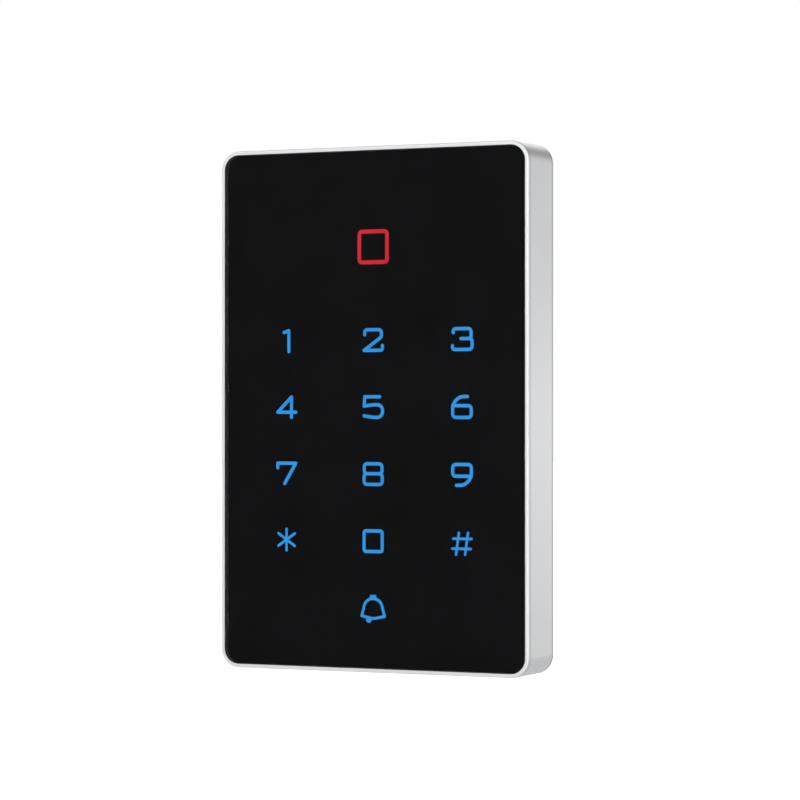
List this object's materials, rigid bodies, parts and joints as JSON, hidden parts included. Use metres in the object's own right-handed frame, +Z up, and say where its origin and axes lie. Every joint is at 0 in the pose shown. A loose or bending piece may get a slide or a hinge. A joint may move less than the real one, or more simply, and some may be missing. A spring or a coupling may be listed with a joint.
{
  "type": "keypad access reader",
  "caption": "Slim wall-mounted touch keypad and card reader: satin metal frame, flush black glass with lit keys, hinged on a hidden wall bracket.",
  "frame": {"origin": "middle of the wall screw pattern, on the wall plane behind the middle of the reader's outline", "axes": "+Z up the wall, +Y into the wall, -Y out of the wall towards the user, +X to the user's right"},
  "size_m": [0.08, 0.015, 0.123],
  "materials": {
    "frame_metal": "satin, with a polished rim",
    "panel_glass": "polished, ground edges",
    "black_print": "opaque black print",
    "digit_light": "lit blue",
    "symbol_light": "lit blue",
    "bell_light": "lit blue",
    "status_light": "lit red",
    "foam_tape": "adhesive foam",
    "diffuser": "milky",
    "white_moulding": "fine matt",
    "spring_steel": "plated wire",
    "touch_foam": "conductive foam",
    "lamp_body": "white",
    "lamp_resin": "clear resin",
    "coil_wire": "enamelled copper wire",
    "coil_tape": "amber film",
    "board": "green solder mask",
    "zinc_steel": "zinc plated",
    "chip_moulding": "moulded epoxy",
    "tinned_leads": "tinned",
    "crystal_can": "drawn can",
    "buzzer_case": "moulded",
    "buzzer_disc": "rolled",
    "foam": "closed-cell foam",
    "regulator": "moulded, tinned tab",
    "ferrite": "pressed ferrite",
    "capacitor_can": "drawn can",
    "resistor_ceramic": "glazed",
    "capacitor_ceramic": "fired",
    "header_moulding": "natural nylon",
    "header_pins": "gold flash",
    "seal_rubber": "silicone",
    "switch_moulding": "moulded",
    "plunger_moulding": "natural acetal",
    "cover_moulding": "fine spark texture",
    "vent_film": "porous film",
    "black_steel": "stainless",
    "bracket_steel": "brushed stainless sheet"
  },
  "bodies": {
    "bracket": {"wall_bracket": "bracket_steel"},
    "reader": {"front_frame": "frame_metal", "touch_panel": "panel_glass", "legend_mask": "black_print", "digit_windows": "digit_light", "symbol_windows": "symbol_light", "bell_window": "bell_light", "status_window": "status_light", "panel_tape": "foam_tape", "legend_diffuser": "diffuser", "light_guard": "white_moulding", "tamper_spring": "spring_steel", "touch_pads": "touch_foam", "key_lamps": "lamp_body", "status_lamp": "lamp_body", "key_lamp_lenses": "lamp_resin", "status_lamp_lens": "lamp_resin", "antenna_coil": "coil_wire", "antenna_leads": "coil_wire", "antenna_coil_tapes": "coil_tape", "circuit_board": "board", "board_screws": "zinc_steel", "rear_cover_screws": "zinc_steel", "microcontroller": "chip_moulding", "touch_chip": "chip_moulding", "card_reader_chip": "chip_moulding", "interface_chip": "chip_moulding", "surge_diodes": "chip_moulding", "output_transistors": "chip_moulding", "microcontroller_leads": "tinned_leads", "touch_chip_leads": "tinned_leads", "small_chip_leads": "tinned_leads", "crystal": "crystal_can", "buzzer": "buzzer_case", "buzzer_diaphragm": "buzzer_disc", "buzzer_gasket": "foam", "voltage_regulator": "regulator", "power_inductor": "ferrite", "bulk_capacitors": "capacitor_can", "chip_resistors": "resistor_ceramic", "chip_capacitors": "capacitor_ceramic", "harness_header": "header_moulding", "harness_pins": "header_pins", "header_seal": "seal_rubber", "rear_cover_seal": "seal_rubber", "rest_pads": "seal_rubber", "tamper_switch": "switch_moulding", "rear_cover": "cover_moulding", "vent_patch": "vent_film"},
    "lock": {"locking_screw": "black_steel"},
    "plunger": {"tamper_plunger": "plunger_moulding"}
  },
  "joints": [
    {"name": "hang_tilt", "type": "hinge", "parent": "bracket", "child": "reader", "pos_m": [0, -0.0038, 0.0582], "axis": [-1, 0, 0], "range_deg": [0, 13]},
    {"name": "lock_screw_travel", "type": "slide", "parent": "reader", "child": "lock", "axis": [0, 0, 1], "range_m": [0, 0.002]},
    {"name": "tamper_plunger_travel", "type": "slide", "parent": "reader", "child": "plunger", "axis": [0, 1, 0], "range_m": [0, 0.0014], "stiffness_N_per_m": 200, "springref_m": 0.0025, "deforming": ["tamper_spring"]}
  ]
}
